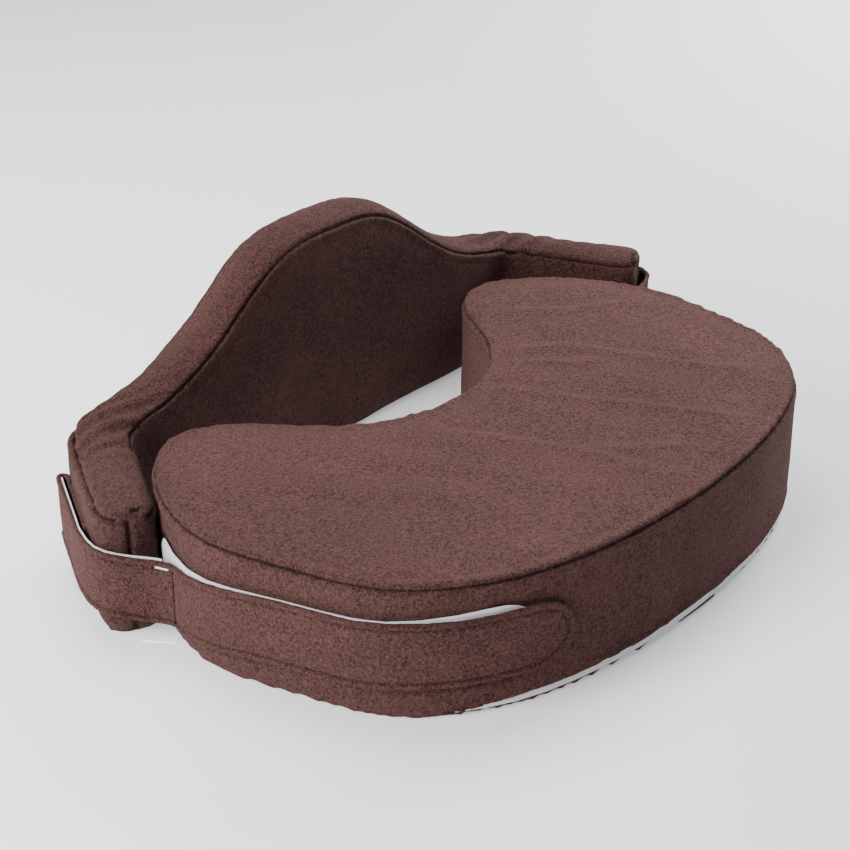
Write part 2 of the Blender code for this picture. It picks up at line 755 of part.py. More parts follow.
clear_scene()
materials = {name: make_material(name) for name in COLOURS}
plan = evenly(platform_outline(), OUTLINE_SPACING, closed=True)
zip_path = build_platform(plan)
build_label(plan)
build_zip("platform", zip_path, ZIP_LENGTH - ZIP_REST)
pad_plan = pad_corners(plan)
pad, pad_zip_path = build_pad(pad_plan)
build_zip("backrest", pad_zip_path, ZIP_REST)
flap_axis = build_near_belt(pad, plan)
swing_axis = build_far_link(pad, plan)

# The pad swings open about the sewn link, and takes the belt with it.
backrest = [f"backrest_{part}" for part in BACKREST_PARTS]
backrest += ["near_belt", "near_belt_tape", "near_bar_tack", "far_link"]
add_joint("near_flap_peel", flap_axis, ["near_flap_cover", "near_flap_hook_tape"])
add_joint("backrest_zip_slide", bpy.data.objects["backrest_zip_slider"].location.xy, ["backrest_zip_slider"])
slides = ["near_flap_peel", "backrest_zip_slide"]
add_joint("backrest_swing", swing_axis, backrest + slides)
zip_arc = [stretch(zip_path, 0, ZIP_LENGTH - ZIP_REST - ZIP_ARC * k / 2)[-1] for k in range(3)]
add_joint("platform_zip_travel", arc_centre(*zip_arc), ["platform_zip_slider"])
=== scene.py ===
"""A nursing pillow: a foam platform and a standing backrest pad, dressed in brown fleece."""

import math

import bmesh
import bpy
import numpy as np
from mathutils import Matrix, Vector, kdtree, noise
from mathutils.bvhtree import BVHTree


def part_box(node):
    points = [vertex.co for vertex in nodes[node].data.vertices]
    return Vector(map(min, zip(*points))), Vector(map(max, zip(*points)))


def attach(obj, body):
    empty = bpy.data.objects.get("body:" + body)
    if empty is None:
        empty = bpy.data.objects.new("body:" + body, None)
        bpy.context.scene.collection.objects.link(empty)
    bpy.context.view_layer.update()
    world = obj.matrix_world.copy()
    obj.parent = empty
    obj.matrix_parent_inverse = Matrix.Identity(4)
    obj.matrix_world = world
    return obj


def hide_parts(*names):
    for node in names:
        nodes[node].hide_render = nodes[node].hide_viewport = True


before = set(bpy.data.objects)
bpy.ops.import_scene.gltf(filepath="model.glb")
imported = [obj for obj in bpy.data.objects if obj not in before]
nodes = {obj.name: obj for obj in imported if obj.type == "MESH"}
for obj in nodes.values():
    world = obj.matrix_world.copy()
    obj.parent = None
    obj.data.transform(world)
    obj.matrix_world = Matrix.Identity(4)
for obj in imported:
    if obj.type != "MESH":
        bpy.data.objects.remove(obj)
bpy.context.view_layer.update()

# Camera and studio
# A long lens looks down on the near arm. The floor is one pale sheet of paper, lit by the soft boxes on
# the left, above and far right; its colour and glow are painted light and shade, pale and glowing on the near
# side and greyer towards the back and the right.

LENS = 81.47
CAMERA_PLACE = (-1.0977, -0.7446, 0.7950)
CAMERA_TURN = (math.radians(62.93), 0.0, math.radians(-50.81))

lens = bpy.data.cameras.new("camera")
lens.lens = LENS
lens.sensor_width = 36
camera = bpy.data.objects.new("camera", lens)
camera.location = CAMERA_PLACE
camera.rotation_euler = CAMERA_TURN
bpy.context.scene.collection.objects.link(camera)
bpy.context.scene.camera = camera


def soft_box(name, place, target, size, power, colour=(1, 1, 1)):
    """A square studio light that faces a point."""
    light = bpy.data.lights.new(name, "AREA")
    light.shape = "SQUARE"
    light.size = size
    light.energy = power
    light.color = colour
    obj = bpy.data.objects.new(name, light)
    obj.location = place
    obj.rotation_euler = (Vector(target) - Vector(place)).to_track_quat("-Z", "Y").to_euler()
    bpy.context.scene.collection.objects.link(obj)


MIDDLE = (0.0, 0.10, 0.05)
WARM = (1.0, 0.985, 0.97)
COOL = (0.97, 0.98, 1.0)
SKY_COLOUR = (0.93, 0.95, 1.0, 1)
SKY_STRENGTH = 0.29

soft_box("left box", (-2.1, 0.6, 1.25), MIDDLE, size=1.4, power=97, colour=WARM)
soft_box("top box", (0.4, 0.9, 2.3), MIDDLE, size=1.6, power=54)
soft_box("far right box", (2.3, 0.2, 1.1), MIDDLE, size=1.2, power=104, colour=COOL)

world = bpy.data.worlds.new("studio")
world.use_nodes = True
sky = world.node_tree.nodes["Background"].inputs
sky["Color"].default_value = SKY_COLOUR
sky["Strength"].default_value = SKY_STRENGTH
bpy.context.scene.world = world


class Wire:
    """A socket in a material, on which sums and products add Math nodes."""

    def __init__(self, finish, socket):
        self.finish = finish
        self.socket = socket

    def _math(self, operation, first, second):
        return self.finish.node("ShaderNodeMath", {"operation": operation}, {0: first, 1: second})

    def __add__(self, other):
        return self._math("ADD", self, other)

    def __sub__(self, other):
        return self._math("SUBTRACT", self, other)

    def __rsub__(self, other):
        return self._math("SUBTRACT", other, self)

    def __mul__(self, other):
        return self._math("MULTIPLY", self, other)

    __radd__ = __add__
    __rmul__ = __mul__


class Finish:
    """A material around one Principled shader."""

    def __init__(self, name, **constants):
        self.material = bpy.data.materials.new(name)
        self.material.use_nodes = True
        self.tree = self.material.node_tree
        self.shader = self.tree.nodes["Principled BSDF"]
        for socket, value in constants.items():
            self.shader.inputs[socket.replace("_", " ")].default_value = value
        self.place = self.node("ShaderNodeTexCoord", output="Object")

    def node(self, kind, settings=None, inputs=None, output=0):
        """A node with its settings, then its values or links; returns one of its outputs."""
        made = self.tree.nodes.new(kind)
        for key, value in (settings or {}).items():
            if key == "stops":
                for element, (position, colour) in zip(made.color_ramp.elements, value):
                    element.position = position
                    element.color = (*colour, 1)
            else:
                setattr(made, key, value)
        for key, value in (inputs or {}).items():
            if isinstance(value, Wire):
                self.tree.links.new(value.socket, made.inputs[key])
            else:
                made.inputs[key].default_value = value
        return Wire(self, made.outputs[output])

    def speckle(self, scale, detail=3.0, roughness=0.6, stretch=None):
        """Noise over the piece, with features about 1/scale of a metre across."""
        place = self.place
        if stretch:
            place = self.node("ShaderNodeMapping", None, {"Vector": place, "Scale": stretch})
        values = {"Vector": place, "Scale": scale, "Detail": detail, "Roughness": roughness}
        return self.node("ShaderNodeTexNoise", None, values, output="Fac")

    def between(self, share, first, second, soft=0.18):
        """The colour that lies a share of the way from the first to the second; a smaller soft is starker."""
        ramp = {"stops": ((0.5 - soft, first), (0.5 + soft, second))}
        return self.node("ShaderNodeValToRGB", ramp, {"Fac": share}, output="Color")

    def feed(self, socket, wire):
        self.tree.links.new(wire.socket, self.shader.inputs[socket])

    def bump(self, height, strength, distance):
        values = {"Height": height, "Strength": strength, "Distance": distance}
        self.feed("Normal", self.node("ShaderNodeBump", None, values, output="Normal"))


FLOOR_HALF = 9
FLOOR_DROP = 0.0002  # keeps the paper just under the cover's lowest points
FLOOR_WHITE = (0.93, 0.93, 0.935)
FLOOR_PAINTED_SHADE = (0.66, 0.66, 0.68)
FLOOR_PAINTED_GLOW_NEAR = (0.60, 0.60, 0.61)
FLOOR_PAINTED_GLOW_FAR = (0.16, 0.16, 0.165)
SWEEP_FROM = (-1.10, -0.74, 0)
SWEEP_WAY = math.radians(39.2)
SWEEP_AHEAD = 0.54  # the share of a turn at which the paper is neither darker nor paler
SIDE_PAINTED_SHADE = 3.06  # painted shade gained per turn towards the right
FAR_PAINTED_SHADE = 0.34  # painted shade gained from FAR_FROM to FAR_TO
FAR_FROM = 0.5
FAR_TO = 3.0
# painted shade laid over the whole paper
PAINTED_SHADE_OFFSET = 0.26

# The paper's base colour falls from white to grey as painted shade, and its emission is painted light,
# strongest on the near side.
paper = Finish("floor paper painted light", Roughness=0.75, Emission_Strength=1.0)
turned = paper.node(
    "ShaderNodeMapping",
    {"vector_type": "TEXTURE"},
    {"Vector": paper.place, "Location": SWEEP_FROM, "Rotation": (0, 0, SWEEP_WAY)},
)
radial = {"gradient_type": "RADIAL"}
turn_share = paper.node("ShaderNodeTexGradient", radial, {"Vector": turned}, output="Fac")
ahead = paper.node("ShaderNodeSeparateXYZ", None, {0: turned}, output="X")
far_share = paper.node("ShaderNodeMapRange", None, {0: ahead, 1: FAR_FROM, 2: FAR_TO})
painted_falloff = (SWEEP_AHEAD - turn_share) * SIDE_PAINTED_SHADE + far_share * FAR_PAINTED_SHADE + PAINTED_SHADE_OFFSET
paper.feed("Base Color", paper.between(painted_falloff, FLOOR_WHITE, FLOOR_PAINTED_SHADE))
paper.feed("Emission Color", paper.between(painted_falloff, FLOOR_PAINTED_GLOW_NEAR, FLOOR_PAINTED_GLOW_FAR))
sheet_mesh = bmesh.new()
bmesh.ops.create_grid(sheet_mesh, x_segments=2, y_segments=2, size=FLOOR_HALF)
floor_mesh = bpy.data.meshes.new("floor")
sheet_mesh.to_mesh(floor_mesh)
sheet_mesh.free()
floor_mesh.materials.append(paper.material)
floor = bpy.data.objects.new("floor", floor_mesh)
floor.location.z = -FLOOR_DROP
bpy.context.scene.collection.objects.link(floor)

# Fleece
# A brushed polyester pile, 1 to 2 mm deep, dyed cocoa brown. It clumps into small curls and catches light at
# grazing angles;
# shade is painted into its colour along the seams, where the grooves would be in shadow.

PILE_DARK = (0.020, 0.0068, 0.0060)
PILE_LIGHT = (0.185, 0.080, 0.070)
PILE_SHEEN = (0.80, 0.56, 0.50, 1)
PILE_CONTRAST = 0.13
PILE_DEPTH = 0.0060
CURLS = 480  # to a metre, as are the next three
CLUMPS = 190
STROKES = 15
FIBRES = 1500
# painted shade along the seams' grooves
PAINTED_GROOVE_SHADE = 0.20


def fleece(name, depth=1.0, light=1.0):
    """Fleece with a pile of the given depth; light scales its colour, so a copy over 1 has painted light and
    one under 1 painted shade.
    """
    cloth = Finish(
        name, Sheen_Weight=0.12, Sheen_Roughness=0.36, Sheen_Tint=PILE_SHEEN, Specular_IOR_Level=0.10
    )
    curls = cloth.speckle(CURLS, detail=4.0, roughness=0.75)
    clumps = cloth.speckle(CLUMPS, detail=3.0)
    strokes = cloth.speckle(STROKES, detail=2.0, stretch=(1.0, 0.45, 1.0))
    fibres = cloth.speckle(FIBRES, detail=2.0)
    mottle = curls * 0.74 + clumps * 0.14 + strokes * 0.12
    # light scales both ends of the colour: painted light or painted shade
    dark = tuple(channel * light for channel in PILE_DARK)
    pale = tuple(channel * light for channel in PILE_LIGHT)
    # Painted shade: the seam attribute darkens the pile along seams and stitch lines.
    groove = cloth.node("ShaderNodeAttribute", {"attribute_name": "seam"}, output="Fac")
    shaded = mottle - groove * PAINTED_GROOVE_SHADE
    cloth.feed("Base Color", cloth.between(shaded, dark, pale, soft=PILE_CONTRAST))
    cloth.feed("Roughness", curls * 0.10 + 0.88)
    cloth.bump(curls * 0.80 + fibres * 0.15 + clumps * 0.20, 1.0, PILE_DEPTH * depth)
    return cloth.material


# Platform
# A firm foam crescent in a cover of three panels: flat top and bottom, and a band round the
# side. The top is dragged a little from the waist towards the far right edge, in long soft folds.

def cloth_copy(name, node_names, voxel):
    """One closed mesh round the named CAD solids, made of even squares."""
    joined = bmesh.new()
    for node_name in node_names:
        joined.from_mesh(nodes[node_name].data)
    bmesh.ops.remove_doubles(joined, verts=joined.verts, dist=1e-6)
    mesh = bpy.data.meshes.new(name)
    joined.to_mesh(mesh)
    joined.free()
    obj = bpy.data.objects.new(name, mesh)
    bpy.context.scene.collection.objects.link(obj)
    remesh = obj.modifiers.new("squares", "REMESH")
    remesh.mode = "VOXEL"
    remesh.voxel_size = voxel
    bake(obj)
    return obj


def bake(obj):
    """Makes the mesh what its modifiers show, and removes them."""
    graph = bpy.context.evaluated_depsgraph_get()
    made = bpy.data.meshes.new_from_object(obj.evaluated_get(graph))
    obj.modifiers.clear()
    old, obj.data = obj.data, made
    made.name = obj.name
    bpy.data.meshes.remove(old)


def points_of(mesh):
    flat = np.empty(len(mesh.vertices) * 3)
    mesh.vertices.foreach_get("co", flat)
    return flat.reshape(-1, 3)


def normals_of(mesh):
    flat = np.empty(len(mesh.vertices) * 3, np.float32)
    mesh.vertex_normals.foreach_get("vector", flat)
    return flat.reshape(-1, 3).astype(float)


def mark_painted_seam_shade(mesh, share):
    """Adds to the attribute that paints shade into the pile along a seam, where its groove would be in
    shadow.
    """
    layer = mesh.attributes.get("seam") or mesh.attributes.new("seam", "FLOAT", "POINT")
    before = np.empty(len(share), np.float32)
    layer.data.foreach_get("value", before)
    layer.data.foreach_set("value", np.maximum(before, share).astype(np.float32))


def place_points(mesh, points):
    mesh.vertices.foreach_set("co", points.ravel())
    mesh.update()


FILLING = {
    "quality": 4,
    "mass": 0.3,
    "tension_stiffness": 25,
    "compression_stiffness": 25,
    "bending_stiffness": 0.6,
    "use_pressure": True,
}
FILLING_STEPS = 20
PRESSURE = 4.0
TUCK = 0.0006  # the foam stops the cover going further in than this
PUFF = 0.6  # the share of the swelling that stays once the foam has settled
PILE = 0.0008  # how far the pile stands off the woven back of the fleece


def plump(obj, pressure, most, slack):
    """Blows the cover up from inside, from a shape that is smaller by slack; no point moves past most."""
    outline = points_of(obj.data)
    outward = normals_of(obj.data)
    start = outline - outward * slack
    place_points(obj.data, start)
    cloth = obj.modifiers.new("filling", "CLOTH")
    for key, value in FILLING.items():
        setattr(cloth.settings, key, value)
    cloth.settings.uniform_pressure_force = pressure
    cloth.settings.effector_weights.gravity = 0
    cloth.collision_settings.use_collision = False
    for step in range(1, FILLING_STEPS + 1):
        bpy.context.scene.frame_set(step)
    graph = bpy.context.evaluated_depsgraph_get()
    moved = points_of(obj.evaluated_get(graph).data)
    obj.modifiers.clear()
    bpy.context.scene.frame_set(1)
    step = moved - start
    length = np.linalg.norm(step, axis=1)[:, None] + 1e-12
    moved = start + step / length * most * np.tanh(length / most)
    grown = ((moved - outline) * outward).sum(1)
    kept = np.where(grown < 0, -TUCK * np.tanh(-grown / TUCK), grown * PUFF) + PILE
    place_points(obj.data, moved + outward * (kept - grown)[:, None])


def divide(obj):
    finer = obj.modifiers.new("finer", "SUBSURF")
    finer.levels = 1
    finer.render_levels = 1
    bake(obj)


REFINE_REACH = 0.0045


def refine(mesh, samples, reach=REFINE_REACH, cuts=1):
    """Splits the squares that lie along a seam, so that it can be narrow."""
    distance, _ = nearest(points_of(mesh), samples)
    finer = bmesh.new()
    finer.from_mesh(mesh)
    picked = [e for e in finer.edges if max(distance[v.index] for v in e.verts) < reach]
    bmesh.ops.subdivide_edges(finer, edges=picked, cuts=cuts, use_grid_fill=True)
    finer.to_mesh(mesh)
    finer.free()
    mesh.update()


def soften(mesh, rounds, where=None):
    """Evens out the surface, only where the mask says if there is one."""
    edges = np.empty(len(mesh.edges) * 2, np.int64)
    mesh.edges.foreach_get("vertices", edges)
    edges = edges.reshape(-1, 2)
    points = points_of(mesh)
    share = np.ones(len(points)) if where is None else where
    count = np.bincount(edges.ravel(), minlength=len(points))[:, None]
    for _ in range(rounds):
        total = np.zeros_like(points)
        for axis in range(3):
            ends = (points[edges[:, 1], axis], points[edges[:, 0], axis])
            total[:, axis] = np.bincount(edges[:, 0], ends[0], len(points))
            total[:, axis] += np.bincount(edges[:, 1], ends[1], len(points))
        points += (total / count - points) * 0.5 * share[:, None]
    place_points(mesh, points)


SHARP = math.radians(50)
SAMPLE_SPACING = 0.001


def rim_lines(node_name, keep=lambda edge: True):
    """Points along a CAD solid's sharp edges, where keep(edge) is true."""
    solid = bmesh.new()
    solid.from_mesh(nodes[node_name].data)
    bmesh.ops.remove_doubles(solid, verts=solid.verts, dist=1e-6)
    solid.normal_update()
    samples = []
    for edge in solid.edges:
        if len(edge.link_faces) != 2 or edge.calc_face_angle(0) < SHARP or not keep(edge):
            continue
        a, b = (v.co.copy() for v in edge.verts)
        steps = max(2, int((b - a).length / SAMPLE_SPACING))
        samples += [a.lerp(b, k / steps) for k in range(steps)]
    solid.free()
    return samples


def underside(edge):
    """True for the lower rim of an upright side."""
    rise = sorted(face.normal.z for face in edge.link_faces)
    return rise[0] < -0.5 and rise[1] < 0.45


def nearest(points, samples):
    """For each point: its distance to the samples, and the sample."""
    tree = kdtree.KDTree(len(samples))
    for i, sample in enumerate(samples):
        tree.insert(sample, i)
    tree.balance()
    found = [tree.find(p) for p in points]
    return np.array([f[2] for f in found]), np.array([f[0][:] for f in found])


def cloth_noise(points, scale, seed):
    """Smooth noise from -1 to 1, with features about 1/scale of a metre across."""
    moved = points * scale + seed
    return np.array([noise.noise(p) for p in moved])


def bell(distance, width):
    return np.exp(-((distance / width) ** 2))


SEAM_WIDTH = 0.0016
SHADE_WIDTH = 0.0012
GATHER_RANGE = 0.045  # nothing gathers further from the seam than this
GATHER_REACH = 0.010
GATHER_SCALES = (95, 210)
ROLL_REACH = 0.012
LIP_OFFSET = 0.0050  # the cloth stands up a little on each side of the seam
LIP_WIDTH = 0.0030
LIP_SHARE = 0.35


def skin_of(mesh):
    return BVHTree.FromPolygons([v.co for v in mesh.vertices], [f.vertices[:] for f in mesh.polygons])


def sew(mesh, samples, depth, pucker, seed, roll=0.0):
    """Draws the surface in along a seam, lets the cloth gather beside it, and rolls the edge over."""
    skin = skin_of(mesh)
    samples = [skin.find_nearest(p)[0] for p in samples]
    if depth:
        refine(mesh, samples, cuts=2)
    points = points_of(mesh)
    normals = normals_of(mesh)
    distance, foot = nearest(points, samples)
    close = distance < GATHER_RANGE
    gather = np.zeros(len(points))
    gather[close] = cloth_noise(foot[close], GATHER_SCALES[0], seed)
    gather[close] += 0.6 * cloth_noise(foot[close], GATHER_SCALES[1], seed + 9)
    groove = bell(distance, SEAM_WIDTH)
    shift = pucker * gather * np.exp(-distance / GATHER_REACH) * (1 - 0.6 * groove) - depth * groove
    shift += LIP_SHARE * depth * bell(distance - LIP_OFFSET, LIP_WIDTH)
    points += normals * shift[:, None]
    points[:, 2] -= roll * np.exp(-distance / ROLL_REACH) * np.clip(normals[:, 2], 0, 1)
    place_points(mesh, points)
    if depth:
        # painted shade along the seam's groove
        mark_painted_seam_shade(mesh, 0.85 * bell(distance, SHADE_WIDTH))


def polyline(corners, spacing=0.002):
    """Points along a line through its corners."""
    line = []
    for a, b in zip(corners, corners[1:]):
        a, b = Vector(a), Vector(b)
        steps = max(2, int((b - a).length / spacing))
        line += [a.lerp(b, k / steps) for k in range(steps)]
    return line


PULL_FADE = 0.030  # each fold dies away over its last stretch


def pull_line(mesh, corners, height, width, lean=0.5):
    """A soft ridge where the cover is dragged over the foam, with a hollow on its front side."""
    line = polyline([(x, y, 0) for x, y in corners])
    points = points_of(mesh)
    flat = points.copy()
    flat[:, 2] = 0
    up = np.clip(normals_of(mesh)[:, 2], 0, 1) ** 2
    box_low = np.array([min(p[k] for p in line) for k in (0, 1)]) - 4 * width
    box_high = np.array([max(p[k] for p in line) for k in (0, 1)]) + 4 * width
    near = (flat[:, :2] > box_low).all(1) & (flat[:, :2] < box_high).all(1) & (up > 0.2)
    picked = np.nonzero(near)[0]
    distance, foot = nearest(flat[picked], line)
    along = Vector(line[-1]) - Vector(line[0])
    across = np.array([-along.y, along.x]) / along.length
    side = np.sign((flat[picked][:, :2] - foot[:, :2]) @ across)
    to_start = np.linalg.norm(foot - np.array(line[0]), axis=1)
    to_end = np.linalg.norm(foot - np.array(line[-1]), axis=1)
    fade = np.clip(np.minimum(to_start, to_end) / PULL_FADE, 0.15, 1.0)
    hollow = lean * bell(distance - 1.7 * width, 1.3 * width) * (side > 0)
    points[picked, 2] += height * (bell(distance, width) - hollow) * fade * up[picked]
    place_points(mesh, points)


OPEN_SHARE = 0.56  # of the zip's height; the cover hangs over the rest
OPEN_DEPTH = 0.0022  # from the tape's face to the cover behind it
OVERHANG = 0.0018  # from the tape's face to the cover in front of it
ZIP_MARGIN = 0.0006
ZIP_REACH = 0.008
ZIP_REFINE = 0.0070
ZIP_BAND = 0.004  # cover above and below the zip that may move too
CLOSING = 0.050  # length over which the opening closes at one end
EDGE_BLEND = 0.0008
OVERHANG_FADE = 0.003
MOST_OVERHANG = 0.006


def open_for_zip(mesh, prefix, closed_end=None):
    """Sets the cover back behind a zip's coil, and lets it hang over the upper tape and one end."""
    samples = []
    for piece in ("tape_lower", "tape_upper", "coil"):
        samples += rim_lines(f"{prefix}_zip_{piece}")
    heights = [s.z for s in samples]
    low, high = min(heights) - ZIP_MARGIN, max(heights) + ZIP_MARGIN
    refine(mesh, samples, ZIP_REFINE)
    points = points_of(mesh)
    picked = np.nonzero((points[:, 2] > low - ZIP_BAND) & (points[:, 2] < high + ZIP_BAND))[0]
    distance, foot = nearest(points[picked], samples)
    normals = normals_of(mesh)[picked]
    normals[:, 2] = 0
    normals /= np.linalg.norm(normals, axis=1)[:, None] + 1e-9
    touching = distance < ZIP_REACH
    height = points[picked, 2]
    share = np.full(len(picked), OPEN_SHARE)
    if closed_end:
        apart = np.linalg.norm(points[picked, :2] - np.array(closed_end), axis=1)
        share *= np.clip(apart / CLOSING, 0, 1) ** 0.6
    lip = low + (high - low) * share
    proud = ((points[picked] - foot) * normals).sum(1)
    inside = np.clip(np.minimum(height - low, lip - height) / EDGE_BLEND, 0, 1)
    over = np.clip((height - lip) / EDGE_BLEND, 0, 1)
    over *= np.clip((high + OVERHANG_FADE - height) / OVERHANG_FADE, 0, 1)
    push = np.clip(proud + OPEN_DEPTH, 0, ZIP_REACH) * inside
    push -= np.clip(OVERHANG - proud, 0, MOST_OVERHANG) * over
    points[picked] -= normals * (push * touching)[:, None]
    place_points(mesh, points)


def finish_piece(obj, body, slot, material, *replaced):
    """Smooth shading, a material, and its place in the frame."""
    obj.data.materials.clear()
    obj.data.materials.append(material)
    obj.data.shade_smooth()
    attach(obj, body)
    if replaced:
        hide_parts(*replaced)


PLATFORM_NODES = ("platform_foam_core", "platform_top_panel", "platform_side_band", "platform_bottom_panel")
PLATFORM_VOXEL = 0.0040
PULLS = (
    ((0.150, 0.198), (0.198, 0.142), (0.262, 0.108)),
    ((0.090, 0.142), (0.132, 0.104), (0.150, 0.053), (0.165, 0.006), (0.198, -0.052)),
    ((0.072, 0.128), (0.108, 0.079), (0.145, 0.049)),
    ((0.020, 0.118), (0.039, 0.079), (0.054, 0.037), (0.077, -0.008), (0.098, -0.055), (0.120, -0.100)),
    ((-0.058, 0.088), (-0.039, 0.037), (-0.025, 0.000), (-0.013, -0.037), (-0.010, -0.083), (0.000, -0.108)),
    ((-0.018, -0.001), (0.007, -0.039), (0.036, -0.070), (0.056, -0.104)),
)
DENTS = (
    ((-0.235, 0.150), (-0.190, 0.060), (-0.140, 0.000)),
    ((-0.180, 0.190), (-0.135, 0.080), (-0.085, -0.010)),
    ((-0.110, 0.130), (-0.075, 0.040), (-0.055, -0.060)),
)
PLATFORM_WAVES = ((14, 40.0, 0.0011), (60, 4.0, 0.0003))  # noise scale, seed and height

platform = cloth_copy("platform_cushion", PLATFORM_NODES, PLATFORM_VOXEL)
plump(platform, PRESSURE, most=0.0040, slack=0.0022)
soften(platform.data, 1)
divide(platform)
top_seam = rim_lines("platform_top_panel", underside)
sew(platform.data, top_seam, depth=0.0019, pucker=0.0007, seed=3.1, roll=0.0008)
for line in PULLS:
    pull_line(platform.data, line, height=0.0021, width=0.0076)
for line in DENTS:
    pull_line(platform.data, line, height=-0.0012, width=0.0120, lean=0.4)
surface = points_of(platform.data)
outward = normals_of(platform.data)
for scale, seed, height in PLATFORM_WAVES:
    surface += outward * (cloth_noise(surface, scale, seed) * height)[:, None]
surface[:, 2] = np.maximum(surface[:, 2], 0.0)
place_points(platform.data, surface)
zip_points = rim_lines("platform_zip_coil")
near_end = min(zip_points, key=lambda p: (p - camera.location).length)
open_for_zip(platform.data, "platform", near_end.xy[:])
finish_piece(platform, "platform", "fleece", fleece("platform fleece"), *PLATFORM_NODES)

# Backrest
# A foam pad on edge, high in the middle and low in its two arms. A strip runs along its top
# between two seams, and the front and back panels meet in an upright seam at each arm's end.

BACKREST_NODES = (
    "backrest_foam_core",
    "backrest_gusset",
    "backrest_front_panel",
    "backrest_back_panel",
    "backrest_base_strip",
)
BACKREST_VOXEL = 0.0040
FOOT_HEIGHT = 0.016
FOOT_ROUND = 0.0050
SHOULDER_DROP = 0.0026
SEAM_INSET = 0.0060
SEAM_LIFT = 0.003
BACK_NEARNESS = 0.012  # a top edge nearer to the back panel than this is the back one
MEETING = 0.0006
BACKREST_WAVES = ((16, 71.0, 0.0014), (55, 5.0, 0.0004))
BACKREST_PAINTED_SHADE = 0.86  # a darker copy of the fleece: painted shade


def end_seam(edge):
    """True for an upright edge where the front panel meets the back panel."""
    a, b = (v.co for v in edge.verts)
    upright = abs(a.z - b.z) > 0.03 and (a - b).xy.length < 0.001
    return upright and back_tree.find(a)[2] < MEETING and back_tree.find(b)[2] < MEETING


def inset_seam(corner, opposite, inset):
    """The corner line moved towards the opposite one."""
    tree = kdtree.KDTree(len(opposite))
    for i, p in enumerate(opposite):
        tree.insert((p.x, p.y, 0), i)
    tree.balance()
    moved = []
    for p in corner:
        way = Vector(tree.find((p.x, p.y, 0))[0]) - Vector((p.x, p.y, 0))
        moved.append(p + way.normalized() * inset + Vector((0, 0, SEAM_LIFT)))
    return moved


back_points = [v.co for v in nodes["backrest_back_panel"].data.vertices]
back_tree = kdtree.KDTree(len(back_points))
for index, point in enumerate(back_points):
    back_tree.insert(point, index)
back_tree.balance()

backrest = cloth_copy("backrest_cushion", BACKREST_NODES, BACKREST_VOXEL)
plump(backrest, PRESSURE, most=0.0050, slack=0.0026)
soften(backrest.data, 2)
divide(backrest)
corner_lines = rim_lines("backrest_gusset", underside)
sew(backrest.data, corner_lines, depth=0.0, pucker=0.0, seed=17.0, roll=SHOULDER_DROP)
back_corner = [p for p in corner_lines if back_tree.find(p)[2] < BACK_NEARNESS]
front_corner = [p for p in corner_lines if back_tree.find(p)[2] >= BACK_NEARNESS]
inner_line = inset_seam(back_corner, front_corner, SEAM_INSET)
end_lines = rim_lines("backrest_front_panel", end_seam)
sew(backrest.data, inner_line, depth=0.0018, pucker=0.0008, seed=17.0)
sew(backrest.data, front_corner, depth=0.0018, pucker=0.0008, seed=29.0)
sew(backrest.data, end_lines, depth=0.0017, pucker=0.0006, seed=23.0)

surface = points_of(backrest.data)
outward = normals_of(backrest.data)


def pinch(corner, direction, reach, spacing, height, seed):
    """Folds across the pad where an arm bends away from the hump."""
    away = surface[:, :2] - np.array(corner)
    along = away @ np.array(direction)
    across = away @ np.array((-direction[1], direction[0]))
    window = bell(along, reach) * bell(across, reach * 0.8)
    window *= np.clip(outward[:, 2], 0, 1) ** 0.5
    wander = cloth_noise(surface, 16, seed) * 0.6
    wave = np.sin(2 * math.pi * (across / spacing + wander))
    return height * window * np.sign(wave) * np.abs(wave) ** 0.7


folds = pinch((-0.222, 0.292), (-0.97, 0.22), reach=0.050, spacing=0.017, height=0.0025, seed=2.0)
folds += pinch((0.300, 0.300), (0.95, 0.10), reach=0.052, spacing=0.018, height=0.0027, seed=8.0)
surface += outward * folds[:, None]
for scale, seed, height in BACKREST_WAVES:
    surface += outward * (cloth_noise(surface, scale, seed) * height)[:, None]
low = np.clip(1 - surface[:, 2] / FOOT_HEIGHT, 0, 1) ** 2
sideways = outward.copy()
sideways[:, 2] = 0
surface -= sideways * (low * FOOT_ROUND)[:, None]
surface[:, 2] = np.maximum(surface[:, 2], 0.0)
place_points(backrest.data, surface)
soften(backrest.data, 4, (surface[:, 2] < FOOT_HEIGHT).astype(float))
open_for_zip(backrest.data, "backrest")
finish_piece(backrest, "backrest", "fleece", fleece("backrest fleece painted shade", light=BACKREST_PAINTED_SHADE), *BACKREST_NODES)

# Belts
# Strips of the same fleece, turned over at their edges into a soft rolled hem and stitched
# 6 mm in. The near belt is folded back beside the arm; the flap goes on along the platform.

STRIP_VOXEL = 0.0013
HEM_MIDDLE = 0.0028
HEM_WIDTH = 0.0020
HEM_HEIGHT = 0.0008
RIM_HEIGHT = 0.0004
STITCH_INSET = 0.0058
STITCH_WIDTH = 0.0011
STITCH_DEPTH = 0.0009
PAINTED_STITCH_SHADE = 0.45
SHADE_NARROW = 0.0009
PILE_WAVES = ((420, 0.00030), (60, 0.00045))  # noise scale and height
EDGE_WAVE = 0.0010
CREASE = math.radians(40)
JOIN = np.array((-0.288257, 0.153199))  # where the belt's two lengths are sewn together
JOIN_REACH = 0.030
SAG = 0.0105
SAG_REACH = 0.060
LINING_DROP = 0.0007  # the lining stops just below the belt's top edge
LINING_TOP = 0.004
NARROWER = 0.11  # than the CAD belt
FLAP_STRETCH_FROM = 0.17  # from the join; beyond it the flap is stretched and lifted
FLAP_STRETCH = 0.0095
FLAP_LIFT = 0.0040
FLAP_END = 0.035  # the last length of the flap, which gives the way it points

